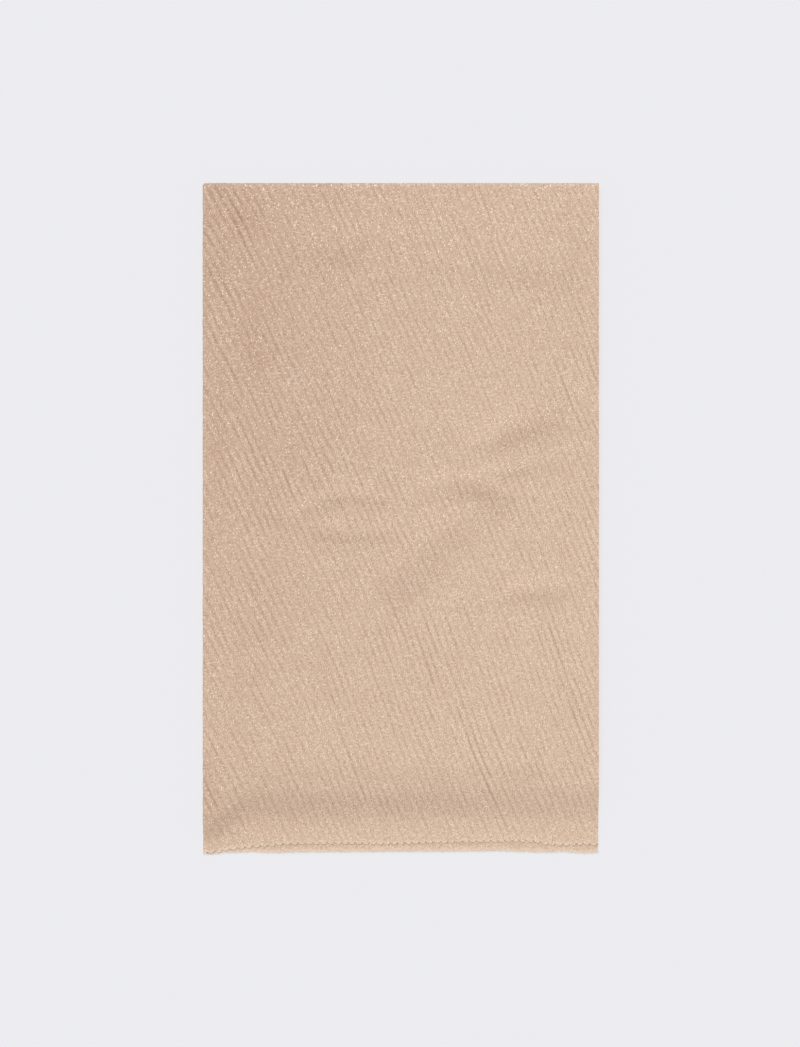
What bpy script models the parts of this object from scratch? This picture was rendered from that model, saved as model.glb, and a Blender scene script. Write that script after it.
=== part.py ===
"""A lurex scarf folded flat: cut 0.75 by 1.8 m, halved across its width, then turned in three along its length.

Metres, +Z up. X runs across the folded scarf, with the width fold on the left at -X. Y runs along it, with
the turned top at +Y and the two scalloped hems at -Y. The origin is the middle of the base, on the table.

Six plies lie on each other. The upper two show, and each is worked out flat, in the cloth's own measures, and
then folded. A place on a flat ply is (across, along): its distance from the middle of the width fold, and its
distance up the scarf, which runs on over the top turn. The four plies under them are hidden, and share one
layered solid.
"""

import math

import bmesh
import bpy
from mathutils.geometry import delaunay_2d_cdt

MM = 0.001

# The folded scarf
FOLDED_WIDTH = 0.373
FOLDED_LENGTH = 0.633
PLY = 0.0011  # a plain stretch of the cloth, loose as it lies
PLY_PITCH = 0.0016  # from one ply to the next
SEAM = 0.0003  # between two solids where the cloth runs on from one to the other
LEG = 0.0010  # the straight bit past a turn, before the seam
HIDDEN_PLIES = 4

# The ribs, which lean over to the left as they go up
RIBS_PER_M_LEFT = 130.0
RIBS_PER_M_RIGHT = 155.0
RIB_RISE = 0.0162  # up the scarf, from one rib to the next
RIB_HEIGHT = 0.0006
RIB_STRENGTH_MIN = 0.55
RIB_FADE = 0.004  # the ribs run out this far short of a turn
RIB_END = 0.002

# The hems, one scallop to a rib
NOTCH_DEPTH = 0.0026
SCALLOP_SHARES = (0.0, 0.17, 0.5, 0.83)
HEM_STRIP = 0.0045  # how far up the ribs of the lower ply run, inside its hem
HEM_RIB_HEIGHT = 0.00035
HEM_CLEAR = 0.0008  # no scallop point lies closer to a hem's end

# Where the hidden plies turn back at the bottom, and how the upper two come down over them to the table
TURN_LINE = -0.2585
CORNER_DROP = 0.026
CORNER_WIDTH = 0.050
STEP_RUN = 0.026
CORNER_RUN = 0.006
STEP_LEAD = 0.003
PILE_BACK = 0.0015  # from the turn line back to the hidden plies' turn

# The air in the pile
PUFF = 0.0020
PUFF_EDGE = 0.075
LOFT = 0.0004
LOFT_EDGE = 0.030

# Sampling
PLAIN_COLUMN = 0.040
CORNER_COLUMN = 0.0063
PLAIN_ROW = 0.036
STEP_ROW = 0.0056
RIB_ROW = 0.036
TURN_PARTS = 6
LOBE_SHARES = (0.0, 0.15, 0.5, 0.85)

# Hem lines through the scallops' tips, in millimetres
UPPER_HEM = (  # x, y
    (-186.5, -316.8), (-173.0, -315.3), (-163.0, -313.6), (-153.5, -312.1), (-137.5, -310.5),
    (-126.0, -309.8), (-114.0, -308.3), (-95.0, -307.6), (-52.0, -307.3), (-12.0, -307.9),
    (11.0, -307.1), (36.0, -306.4), (74.0, -305.5), (118.0, -305.2), (128.0, -306.2),
    (141.0, -308.4), (156.0, -309.1), (171.0, -308.0), (186.5, -308.8),
)
LOWER_HEM = (
    (-186.5, -316.2), (-163.0, -314.2), (-140.0, -313.5), (-115.0, -314.4), (-98.0, -313.6),
    (-38.0, -313.3), (30.0, -313.0), (75.0, -312.9), (90.0, -312.5), (118.0, -313.2),
    (138.0, -313.9), (150.0, -313.1), (171.0, -314.8), (186.5, -314.0),
)

# Soft wrinkles of the upper ply, in millimetres: each a ridge between two places, bowed up between them
WRINKLES = (  # x0, y0, x1, y1, bow, height, width above, width below
    (-90.4, 13.2, -17.0, 17.9, 4.5, 0.9, 9.0, 6.0),
    (-95.1, -13.2, -7.5, -13.2, 2.4, 0.9, 8.0, 5.5),
    (65.0, 53.7, 143.2, 91.4, 7.0, 1.1, 10.0, 7.0),
    (65.0, 33.0, 140.4, 55.6, 2.0, 0.8, 7.0, 6.0),
    (11.3, 16.0, 102.7, 10.4, 17.0, 1.0, 8.0, 7.0),
    (-27.3, -66.9, 69.7, 10.4, 0.0, 1.1, 22.0, 18.0),
    (98.9, -66.9, 156.4, -64.1, 1.0, 0.8, 8.0, 8.0),
    (-92.3, 257.2, -30.1, 264.7, -3.0, 0.6, 12.0, 11.0),
)
WRINKLE_END = 0.25  # how far the ridge runs on past its two places, as a share of its length
WRINKLE_FOOT = 1.4  # where its foot lies, in widths
WRINKLE_PARTS = 6

# Valleys pressed into a crease for part of their length, in millimetres: a place, and how far down it runs
CREASES = (  # x, y_top, y_bottom
    (-10.4, -66.0, -175.0),
    (47.1, -163.0, -280.0),
    (-75.4, -130.0, -278.0),
    (134.7, -107.0, -224.0),
    (147.9, 144.0, 99.0),
    (-165.8, 301.0, 235.0),
    (-178.0, 295.0, 240.0),
    (-184.6, 230.0, 186.0),
    (-116.8, 56.5, 21.7),
)
CREASE_RAISE = 0.00025
CREASE_FADE = 0.020

CLOTH_COLOUR = (0.640, 0.470, 0.353, 1.0)
LOWER_COLOUR = (0.600, 0.435, 0.325, 1.0)
HIDDEN_COLOUR = (0.560, 0.405, 0.300, 1.0)
CLOTH_ROUGHNESS = 0.62
CLOTH_METALLIC = 0.15

# Worked out from those sizes
LEFT = -FOLDED_WIDTH / 2
RIGHT = FOLDED_WIDTH / 2
TOP = FOLDED_LENGTH / 2
ROLL_RADIUS = PLY_PITCH / 2  # of the width fold, to the cloth's middle
ROLL_END = math.pi * ROLL_RADIUS / 2  # where the fold ends, as a distance across from its middle
ROLL_DEPTH = ROLL_RADIUS + PLY / 2
SELVEDGE = FOLDED_WIDTH - ROLL_DEPTH + ROLL_END
TURN_Y = TOP - (1.5 * PLY_PITCH + PLY / 2)  # where the top turn starts
TURN_LENGTH = math.pi * PLY_PITCH
TOP_END = TURN_Y + TURN_LENGTH + LEG
PILE_HEIGHT = HIDDEN_PLIES * PLY_PITCH - (PLY_PITCH - PLY)
PILE_TOP = TURN_Y - LEG - SEAM
RIB_SPREAD = (RIBS_PER_M_RIGHT - RIBS_PER_M_LEFT) / (2 * FOLDED_WIDTH)


def smooth(share):
    """0 to 1 with level ends, as share goes from 0 to 1."""
    share = min(max(share, 0.0), 1.0)
    return share * share * (3 - 2 * share)


def spaced(start, end, step):
    """Evenly spaced values from start to end, both included, no further apart than step."""
    count = max(1, math.ceil(abs(end - start) / step - 1e-9))
    return [start + (end - start) * i / count for i in range(count + 1)]


# ---------------------------------------------------------------- ribs


def reach_of(across):
    """The distance from the folded scarf's left side, for a place past the width fold."""
    return across - ROLL_END + ROLL_DEPTH


def across_of(reach):
    return reach - ROLL_DEPTH + ROLL_END


def rib_number(reach, along, side=1):
    """The rib count at a place: whole in a valley, a half on a crest. Side -1 mirrors it for the lower ply."""
    return side * reach * (RIBS_PER_M_LEFT + RIB_SPREAD * reach) + along / RIB_RISE


def rib_reach(number, along, side=1):
    """Where a rib line crosses a height, as a distance from the left side. It may lie off the cloth."""
    count = max(side * (number - along / RIB_RISE), 0.0)
    return (math.sqrt(RIBS_PER_M_LEFT**2 + 4 * RIB_SPREAD * count) - RIBS_PER_M_LEFT) / (2 * RIB_SPREAD)


def pressed(number, y):
    """How far the valley nearest to a rib number is pressed into a crease at this height, from 0 to 1."""
    most = 0.0
    for x, top, bottom in CREASES:
        if abs(number - round(rib_number(x * MM - LEFT, top * MM))) < 0.6:
            ends = min(top * MM - y, y - bottom * MM)
            most = max(most, smooth(ends / CREASE_FADE + 1))
    return most


def rib_rise(across, along):
    """How far the upper ply's face stands out: nothing in a valley, and a rib's height on a crest."""
    reach = reach_of(across)
    number = rib_number(reach, along)
    left = math.exp(-((reach / 0.10) ** 2))
    low = smooth((0.02 - along) / 0.25)
    strength = RIB_STRENGTH_MIN + (1 - RIB_STRENGTH_MIN) * min(1.0, left + 0.75 * low)
    full = RIB_HEIGHT * strength + CREASE_RAISE * pressed(number, along)
    fade = smooth((across - ROLL_END) / RIB_FADE) * smooth((TURN_Y - along) / RIB_FADE)
    return full * fade * abs(math.sin(math.pi * number))


# ---------------------------------------------------------------- how the cloth lies


def corner(x):
    """1 at the left side, and 0 from CORNER_WIDTH on."""
    return 1 - smooth((x - LEFT) / CORNER_WIDTH)


def turn_line(x):
    """Where the hidden plies turn back at the bottom, lower at the left corner."""
    return TURN_LINE - CORNER_DROP * corner(x)


def puff(x, y):
    """The air in the pile, which goes to nothing at its edges."""
    sides = smooth((x - LEFT) / PUFF_EDGE) * smooth((RIGHT - x) / PUFF_EDGE)
    return PUFF * sides * smooth((TOP - y) / PUFF_EDGE) * smooth((y - turn_line(x)) / PUFF_EDGE)


def pair_height(x, y):
    """The height of the middle of the two upper plies, on the pile or down on the table by their hems."""
    run = STEP_RUN - CORNER_RUN * corner(x)
    on_pile = smooth((y - turn_line(x) + run) / (run + STEP_LEAD))
    return PLY / 2 + PLY_PITCH / 2 + HIDDEN_PLIES * PLY_PITCH * on_pile + puff(x, y)


def loft(x, y):
    """How far the upper ply lies loose over the lower one."""
    return LOFT * smooth((x - LEFT) / LOFT_EDGE) * smooth((TOP - y) / LOFT_EDGE)


def wrinkle_place(wrinkle, share, off):
    """A place beside a wrinkle's ridge: a share of the way along it, and off it by so many widths."""
    x0, y0, x1, y1, bow, _, above, below = wrinkle
    length = math.hypot(x1 - x0, y1 - y0)
    side = off * (above if off > 0 else below) + 4 * bow * share * (1 - share)
    x = x0 + (x1 - x0) * share - (y1 - y0) / length * side
    y = y0 + (y1 - y0) * share + (x1 - x0) / length * side
    return x * MM, y * MM


def wrinkle_rise(x, y):
    """The height of the soft ridges at a place."""
    total = 0.0
    for x0, y0, x1, y1, bow, height, above, below in WRINKLES:
        run_x, run_y = x1 - x0, y1 - y0
        length = math.hypot(run_x, run_y)
        dx, dy = x / MM - x0, y / MM - y0
        share = (dx * run_x + dy * run_y) / length**2
        if -WRINKLE_END < share < 1 + WRINKLE_END:
            off = (dy * run_x - dx * run_y) / length - 4 * bow * share * (1 - share)
            ends = smooth(share / 0.5 + 0.5) * smooth((1 - share) / 0.5 + 0.5)
            total += height * MM * ends * math.exp(-((off / (above if off > 0 else below)) ** 2))
    return total


def fold_width(across, out):
    """Folds the cloth across its width: a point's place across, and its height from the pair's middle."""
    if abs(across) >= ROLL_END:
        return LEFT + reach_of(abs(across)), math.copysign(ROLL_RADIUS + out, across)
    angle = across / ROLL_RADIUS
    return LEFT + ROLL_DEPTH - (ROLL_RADIUS + out) * math.cos(angle), (ROLL_RADIUS + out) * math.sin(angle)


def fold_top(x, along, rise):
    """Lays the pair along the scarf and over its top turn: a point's place along, and its height."""
    if along <= TURN_Y:
        return along, pair_height(x, along) + rise
    angle = min((along - TURN_Y) / PLY_PITCH, math.pi)
    past = max(along - TURN_Y - TURN_LENGTH, 0.0)
    centre = pair_height(x, TURN_Y) - PLY_PITCH
    radius = PLY_PITCH + rise
    return TURN_Y + radius * math.sin(angle) - past, centre + radius * math.cos(angle)


def folded(across, along, out, lift=0.0):
    """A point of the cloth in its folded place. Out is its distance from the cloth's middle to the outside."""
    x, rise = fold_width(across, out)
    y, z = fold_top(x, along, rise)
    return x, y, z + (lift if along <= TURN_Y else 0.0)


# ---------------------------------------------------------------- flat patterns

# The plain surfaces share these places, so that they keep their distance from each other
CORNER_END = ROLL_END + CORNER_WIDTH
STEP_TOP = TURN_LINE + STEP_LEAD
CORNER_COLUMNS = spaced(ROLL_END, CORNER_END, CORNER_COLUMN)
PLAIN_COLUMNS = CORNER_COLUMNS + spaced(CORNER_END, SELVEDGE, PLAIN_COLUMN)[1:]
STEP_ROWS = spaced(-0.300, STEP_TOP, STEP_ROW)
PLAIN_ROWS = STEP_ROWS + spaced(STEP_TOP, TURN_Y, PLAIN_ROW)[1:-1]


class Pattern:
    """A flat surface as points, lines that its triangles follow, and an outline."""

    def __init__(self, outline=()):
        self.points = []
        self.lines = []
        self.outline = [self.point(*place) for place in outline]

    def point(self, *place):
        self.points.append(place)
        return len(self.points) - 1

    def line(self, places):
        ids = [self.point(*place) for place in places]
        self.lines += zip(ids, ids[1:])

    def triangles(self):
        """The surface's points, its triangles inside the outline, and the outline as numbers of points."""
        made = delaunay_2d_cdt(self.points, self.lines, [self.outline], 0, 1e-7, True)
        points, triangles, point_sources, face_sources = made[0], made[2], made[3], made[5]
        at = {old: new for new, olds in enumerate(point_sources) for old in olds}
        inside = [corners for corners, source in zip(triangles, face_sources) if source]
        return points, inside, [at[i] for i in self.outline]


def hem_height(table, x):
    """The height of a hem line at x, all in metres."""
    for (x0, y0), (x1, y1) in zip(table, table[1:]):
        if x <= x1 * MM:
            return (y0 + (y1 - y0) * smooth((x / MM - x0) / (x1 - x0))) * MM
    return table[-1][1] * MM


def notch(number):
    """How far the hem goes in at a rib number."""
    return NOTCH_DEPTH * (1 - abs(math.sin(math.pi * number)))


class Ply:
    """A ply that shows, from a seam by the width fold to its selvedge. The upper is side 1, the lower -1."""

    def __init__(self, side, seam, hem_table):
        self.side = side
        self.hem_table = hem_table
        first = max(seam, ROLL_END)
        self.roll = spaced(seam, ROLL_END, 2 * ROLL_END / TURN_PARTS)[:-1] if seam < ROLL_END else []
        self.columns = self.roll + [first] + PLAIN_COLUMNS[1:]
        self.rows = PLAIN_ROWS
        self.hem = self.scallops(reach_of(first))
        self.turn = spaced(TURN_Y, TURN_Y + TURN_LENGTH, TURN_LENGTH / TURN_PARTS) + [TOP_END]

    def scallops(self, first):
        """The hem as (reach, along, rib number), with a notch at each rib valley and a tip at each crest."""
        middle = hem_height(self.hem_table, 0.0)
        ends = sorted(rib_number(reach, middle, self.side) for reach in (0.0, FOLDED_WIDTH))
        places = [(reach, self.hem_at(reach), None) for reach in (first, FOLDED_WIDTH)]
        for whole in range(math.floor(ends[0]) - 2, math.ceil(ends[1]) + 2):
            for share in SCALLOP_SHARES:
                reach = rib_reach(whole + share, middle, self.side)
                for _ in range(4):  # the hem line slopes a little, so its height there is looked up again
                    along = hem_height(self.hem_table, LEFT + reach) + notch(share)
                    reach = rib_reach(whole + share, along, self.side)
                if first + HEM_CLEAR < reach < FOLDED_WIDTH - HEM_CLEAR:
                    places.append((reach, along, whole + share))
        return sorted(places, key=lambda place: place[0])

    def hem_at(self, reach):
        tips = hem_height(self.hem_table, LEFT + reach)
        return tips + notch(rib_number(reach, tips, self.side))

    def rib_starts(self):
        """The places on the hem where a rib valley or crest runs out."""
        return [place for place in self.hem if place[2] is not None and place[2] % 0.5 == 0]

    def rib_ends(self):
        """Where rib lines run out at the selvedge, as (height, rib number)."""
        low = self.hem[-1][1] + 0.002
        for half in range(-100, 200):
            height = (half / 2 - rib_number(FOLDED_WIDTH, 0.0)) * RIB_RISE
            if low < height < TURN_Y - RIB_END:
                yield height, half / 2

    def outline(self):
        """The hem, the selvedge, the end under the top turn, and the seam by the width fold."""
        start = self.hem[0][1]
        hem = [(a, start) for a in self.roll]
        hem += [(across_of(reach), along) for reach, along, _ in self.hem]
        selvedge = [(SELVEDGE, height) for height, _ in self.rib_ends()]
        selvedge += [(SELVEDGE, t) for t in self.turn[:-1]]
        top = [(a, TOP_END) for a in reversed(self.columns)]
        seam = [(self.columns[0], t) for t in reversed(self.rows + self.turn[:-1]) if t > start + 0.001]
        return hem + selvedge + top + seam

    def pattern(self, ribbed):
        """The ply's flat surface, with plain points, or with rib and wrinkle lines."""
        start = self.hem[0][1]
        surface = Pattern(self.outline())
        rows = [t for t in self.rows if t > start + 0.001]
        for across in self.roll[1:] + ([ROLL_END] if self.roll else []):
            surface.line([(across, t) for t in [start] + rows + self.turn])
        for along in self.turn[:-1]:
            surface.line([(a, along) for a in self.columns])
        if not ribbed:
            for across in self.columns[len(self.roll) + 1 : -1]:
                for along in rows:
                    surface.point(across, along)
        return surface


def upper_face(ply):
    """The upper ply's outer surface, with a line along each rib valley and crest, and along the wrinkles."""
    surface = ply.pattern(ribbed=True)
    heights = STEP_ROWS + spaced(STEP_TOP, TURN_Y - RIB_END, RIB_ROW)[1:]
    starts = ply.rib_starts()
    starts += [(FOLDED_WIDTH, height, number) for height, number in ply.rib_ends()]
    for reach, along, number in starts:
        line = [(across_of(reach), along)]
        for height in heights:
            across = across_of(rib_reach(number, height))
            if height > along + 0.004 and across > ROLL_END + RIB_END:
                line.append((across, height))
        surface.line(line)
    for wrinkle in WRINKLES:
        for off in (-WRINKLE_FOOT, 0.0, WRINKLE_FOOT):
            shares = spaced(-WRINKLE_END, 1 + WRINKLE_END, 1 / WRINKLE_PARTS)
            ridge = [wrinkle_place(wrinkle, share, off) for share in shares]
            surface.line([(across_of(x - LEFT), y) for x, y in ridge])
    return surface


def lower_face(ply):
    """The lower ply's inner surface: its ribs run a little way up from the hem, where it shows."""
    surface = ply.pattern(ribbed=False)
    for reach, along, number in ply.rib_starts():
        end = rib_reach(number, along + HEM_STRIP, ply.side)
        surface.line([(across_of(reach), along), (across_of(end), along + HEM_STRIP)])
    return surface


# ---------------------------------------------------------------- solids


def wall(name, face, back, place_face, place_back, material):
    """A closed wall of cloth between two flat surfaces with the same outline, each put in its folded place."""
    mesh = bmesh.new()
    rims = []
    for surface, place in ((face, place_face), (back, place_back)):
        points, triangles, outline = surface.triangles()
        made = [mesh.verts.new(place(*point)) for point in points]
        for corners in triangles:
            mesh.faces.new([made[i] for i in corners])
        rims.append([made[i] for i in outline])
    bridge(mesh, *rims)
    return finish(name, mesh, material)


def bridge(mesh, one, other):
    """Faces between two closed rows of points."""
    for i in range(len(one)):
        mesh.faces.new((one[i - 1], one[i], other[i], other[i - 1]))


def finish(name, mesh, material):
    """A named object from a bmesh, with its faces pointing out."""
    bmesh.ops.recalc_face_normals(mesh, faces=mesh.faces)
    data = bpy.data.meshes.new(name)
    mesh.to_mesh(data)
    mesh.free()
    data.shade_smooth()
    data.set_sharp_from_angle(angle=math.radians(50))
    data.materials.append(material)
    made = bpy.data.objects.new(name, data)
    bpy.context.scene.collection.objects.link(made)
    return made


def cloth(name, colour):
    """The cloth's material."""
    material = bpy.data.materials.new(name)
    material.use_nodes = True
    shader = material.node_tree.nodes["Principled BSDF"]
    shader.inputs["Base Color"].default_value = colour
    shader.inputs["Roughness"].default_value = CLOTH_ROUGHNESS
    shader.inputs["Metallic"].default_value = CLOTH_METALLIC
    material.diffuse_color = colour
    return material


def upper_ply():
    """The ply on top: ribs and wrinkles outside, plain inside, round the width fold and the top turn."""
    ply = Ply(1, -(ROLL_END + LEG), UPPER_HEM)

    def lift(x, along, across):
        return loft(x, along) if across > ROLL_END else 0.0

    def place_face(across, along):
        x, _ = fold_width(across, 0.0)
        flat = across > ROLL_END and along < TURN_Y
        if not flat:
            return folded(across, along, PLY / 2, lift(x, along, across))
        edge = smooth((across - ROLL_END) / LOFT_EDGE)
        rise = lift(x, along, across) + wrinkle_rise(x, along) * edge
        return folded(across, along, PLY / 2 + rib_rise(across, along), rise)

    def place_back(across, along):
        x, _ = fold_width(across, 0.0)
        return folded(across, along, -PLY / 2, lift(x, along, across))

    face, back = upper_face(ply), ply.pattern(ribbed=False)
    return wall("upper_ply", face, back, place_face, place_back, cloth("upper_cloth", CLOTH_COLOUR))


def lower_ply():
    """The ply under it, plain but for the strip of ribs and scallops that shows below the upper hem."""
    ply = Ply(-1, ROLL_END + LEG + SEAM, LOWER_HEM)

    def place_top(across, along):
        reach = reach_of(across)
        in_strip = along < hem_height(ply.hem_table, LEFT + reach) + NOTCH_DEPTH + HEM_STRIP + MM
        crest = abs(math.sin(math.pi * rib_number(reach, along, ply.side)))
        return folded(-across, along, -PLY / 2 - (HEM_RIB_HEIGHT * crest if in_strip else 0.0))

    def place_under(across, along):
        return folded(-across, along, PLY / 2)

    top, under = lower_face(ply), ply.pattern(ribbed=False)
    return wall("lower_ply", top, under, place_top, place_under, cloth("lower_cloth", LOWER_COLOUR))


def lobe_inset(height, count):
    """How far the pile's edge goes in at a height, where it shows that many rounded edges on each other."""
    lobe = PILE_HEIGHT / count
    share = 2 * (height / lobe % 1) - 1
    return lobe / 2 * (1 - math.sqrt(1 - share * share))


def pile_ring(height):
    """The hidden pile's outline: two folds at the left, four ends and selvedges, and one large turn."""
    left = LEFT + SEAM + lobe_inset(height, HIDDEN_PLIES // 2)
    right = RIGHT - 2 * SEAM - lobe_inset(height, HIDDEN_PLIES)
    high = PILE_TOP - lobe_inset(height, HIDDEN_PLIES)
    low = PILE_BACK + lobe_inset(height, 1)
    inner = [LEFT + reach_of(across) for across in PLAIN_COLUMNS[1:-1]]
    turn = [left] + inner + [right]
    bottom = [(x, turn_line(x) + low) for x in turn]
    rows = spaced(0.0, 1.0, 0.25)[1:-1]
    selvedges = [(right, bottom[-1][1] + (high - bottom[-1][1]) * share) for share in rows]
    top = [(x, high) for x in reversed(turn)]
    folds = [(left, high + (bottom[0][1] - high) * share) for share in rows]
    return bottom + selvedges + top + folds


def hidden_plies():
    """The four plies under the two that show, as one solid with a flat base and layered, rounded edges."""
    mesh = bmesh.new()
    lobe = PILE_HEIGHT / HIDDEN_PLIES
    heights = [lobe * (ply + share) for ply in range(HIDDEN_PLIES) for share in LOBE_SHARES] + [PILE_HEIGHT]
    rings = [[mesh.verts.new((x, y, height)) for x, y in pile_ring(height)] for height in heights]
    for lower, upper in zip(rings, rings[1:]):
        bridge(mesh, lower, upper)
    columns = [LEFT + reach_of(across) for across in PLAIN_COLUMNS[1:-1]]
    low = lobe + PILE_HEIGHT
    inside = [(x, y) for x in columns for y in PLAIN_ROWS if turn_line(x) + low < y < PILE_TOP - lobe]
    for height, ring, extra in ((0.0, rings[0], []), (PILE_HEIGHT, rings[-1], inside)):
        surface = Pattern([(vert.co.x, vert.co.y) for vert in ring])
        for x, y in extra:
            surface.point(x, y)
        points, triangles, outline = surface.triangles()
        made = dict(zip(outline, ring))
        for corners in triangles:
            for i in corners:
                if i not in made:
                    x, y = points[i]
                    made[i] = mesh.verts.new((x, y, height + puff(x, y)))
            mesh.faces.new([made[i] for i in corners])
    return finish("hidden_plies", mesh, cloth("hidden_cloth", HIDDEN_COLOUR))


def main():
    for old in list(bpy.data.objects):
        bpy.data.objects.remove(old)
    upper_ply()
    lower_ply()
    hidden_plies()


main()
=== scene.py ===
"""The looks of a lurex scarf folded flat: thin crinkled plies, stitched scalloped hems and glinting thread.

Metres, +Z up. The scarf is one cloth, so each stretch of it is worked out flat and then folded. A place on
the flat cloth is (across, along): its distance from the width fold's middle, over the upper ply where it is
positive and over the lower one where it is negative, and its distance up the scarf, which runs on over the
top turn, back down, round the bottom turn and up again. Out is its distance from the middle of the cloth's
slot to the outside of the fold, and reach is its distance from the folded scarf's left side.
"""

import math

import bpy
import numpy as np
from mathutils.geometry import delaunay_2d_cdt
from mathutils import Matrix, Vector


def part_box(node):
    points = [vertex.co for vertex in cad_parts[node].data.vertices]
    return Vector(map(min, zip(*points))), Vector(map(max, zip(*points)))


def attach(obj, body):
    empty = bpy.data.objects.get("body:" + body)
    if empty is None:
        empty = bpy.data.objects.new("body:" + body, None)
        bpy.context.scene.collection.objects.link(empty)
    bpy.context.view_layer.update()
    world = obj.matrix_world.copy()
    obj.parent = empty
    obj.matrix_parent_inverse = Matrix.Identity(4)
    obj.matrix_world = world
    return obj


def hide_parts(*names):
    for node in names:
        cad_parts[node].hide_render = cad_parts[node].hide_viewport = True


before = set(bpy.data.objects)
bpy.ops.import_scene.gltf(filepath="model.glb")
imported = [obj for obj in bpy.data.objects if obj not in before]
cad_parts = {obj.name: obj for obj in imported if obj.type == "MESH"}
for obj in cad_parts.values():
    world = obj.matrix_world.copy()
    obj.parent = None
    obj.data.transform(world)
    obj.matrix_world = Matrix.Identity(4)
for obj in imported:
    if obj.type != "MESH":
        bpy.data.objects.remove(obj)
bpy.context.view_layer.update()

MM = 0.001

# The folded scarf, from the frame
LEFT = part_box("upper_ply")[0].x
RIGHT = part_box("upper_ply")[1].x
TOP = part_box("upper_ply")[1].y
WIDTH = RIGHT - LEFT

# Its plies
SLOT = 0.0011  # the height that a ply takes
PITCH = 0.0016  # from one ply to the next
CLOTH = 0.00055  # the cloth itself
HIDDEN_PLIES = 4
LEG = 0.0010  # the straight bit past a turn
SEAM = 0.00015

# Ribs, which lean over to the left as they go up
RIBS_PER_M_LEFT = 130.0
RIBS_PER_M_RIGHT = 155.0
RIB_SPREAD = (RIBS_PER_M_RIGHT - RIBS_PER_M_LEFT) / (2 * WIDTH)
RIB_RISE = 0.0162
RIB_HEIGHT = 0.0006
RIB_SHARES = (0.0, 0.05, 0.14, 0.30, 0.5, 0.70, 0.86, 0.95)
HEM_SHARES = (0.0, 0.07, 0.2, 0.5, 0.8, 0.93)
COVERED_SHARES = (0.0, 0.5)
RIB_RANGE = range(-90, 190)  # more than the rib numbers on any row
VALLEY_SHARPNESS = 0.8
MEAN_VALLEY = 0.31
CREASE_FADE = 0.020
CREASE_RAISE = 0.0003
CREASE_REACH = 1.7  # in half ribs
STEEPER_START, STEEPER_RUN = -0.070, 0.150  # the ribs run steeper below here
STEEPER_SIDE, STEEPER_SIDE_RUN = 0.08, 0.12  # and past here
SLOW_WANDER = (0.33, 0.045, 0.11)  # in ribs, and how long its waves are across and along
QUICK_WANDER = (0.13, 0.014, 0.028)
WANDER_RUN = 0.05  # from the hem band up to where the ribs stray in full
USUAL_DEPTH = 0.73  # of a rib's height
BREAK_MEAN, BREAK_SIZE, BREAK_LENGTH = 0.72, 0.50, 0.018
FLAW_SIZE, FLAW_LENGTH = 0.30, 0.008
SHALLOWEST_BREAK, DEEPEST_BREAK = 0.10, 1.25
DEEPEST = 1.6
PULLED_SHARE, PULLED_LEAD, PULLED_RUN, PULLED_TAIL = 0.6, 0.007, 0.008, 0.01  # flatter over the top turn
SEWN_SHARE, SEWN_START, SEWN_RUN = 0.5, -0.295, 0.012  # and by the two hems that show
CRINKLE_HEIGHT, CRINKLE_SIZE = 0.00006, (0.0045, 0.006)
PATCH_FALL = 1.3

# The hems, one scallop to a rib
NOTCH_DEPTH = 0.0026
HEM_BAND_END = -0.300
END_BAND = 0.006
HEM_FLAT = -0.248  # the upper ply comes down on the lower one from here to the hem
HEM_RUN = 0.038
HEM_SIDE, HEM_SIDE_RUN = 0.001, 0.014  # where it starts at the left
HEM_STEPS = (0.0, 0.2, 0.4, 0.6, 0.8)  # rows from a hem to the end of its band
END_STEPS = (0.0, 0.33, 0.67, 1.0)
HEM_SINK = 0.0011  # how far the upper hem comes down, and how much less room it has
HEM_THINNING = 0.0007
THINNEST = 0.00015
HEM_HIGHLIGHT = (0.24, 0.08)  # painted highlight on the rows of places nearest to a hem, where its rim catches the light
CUT_ANGLE = math.radians(75)  # a cut edge is sharp, and a rib's valley isn't
LOWER_NOTCH_SHARE = 0.15  # of the upper hem's notches, as the lower hem is nearly straight

# How the upper two plies come down to the table by their hems
TURN_LINE = -0.2555
RIGHT_RISE = 0.0045
CORNER_DROP = 0.027
CORNER_WIDTH = 0.050
STEP_RUN = 0.030
RIGHT_RUN = 0.006
CORNER_RUN = 0.005
STEP_LEAD = 0.003
PUFF = 0.0020  # the air in the pile, and in how far from its sides and end it fades in
PUFF_EDGE = 0.075
PUFF_DROP = 0.022
MIDDLE_PUFF, MIDDLE_PUFF_RUN = 0.7, 0.02
LOFT = 0.0004
LOFT_EDGE = 0.030
WRINKLE_END = 0.5  # of its length, in which a wrinkle rises and narrows
NARROWED = 0.35
WRINKLE_FALL = 1.6

# Worked out from those sizes
ROLL_RADIUS = PITCH / 2
ROLL_END = math.pi * ROLL_RADIUS / 2
ROLL_DEPTH = ROLL_RADIUS + SLOT / 2
SELVEDGE = WIDTH - ROLL_DEPTH + ROLL_END
TURN_Y = TOP - (1.5 * PITCH + SLOT / 2)
TURN_LENGTH = math.pi * PITCH
TOP_END = TURN_Y + TURN_LENGTH + LEG

# The hidden panels
LOW_TURN_LEAD = 0.0045  # from the pile's end up to the middle of its bottom turn
LOW_TURN_Y = TURN_LINE + LOW_TURN_LEAD
PANEL_END = 0.3105  # the y at which the third panel ends, under the top turn
HIDDEN_INSET = 0.0006
HIDDEN_UNEVENNESS, HIDDEN_WAVE = 0.0004, 0.09

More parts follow.
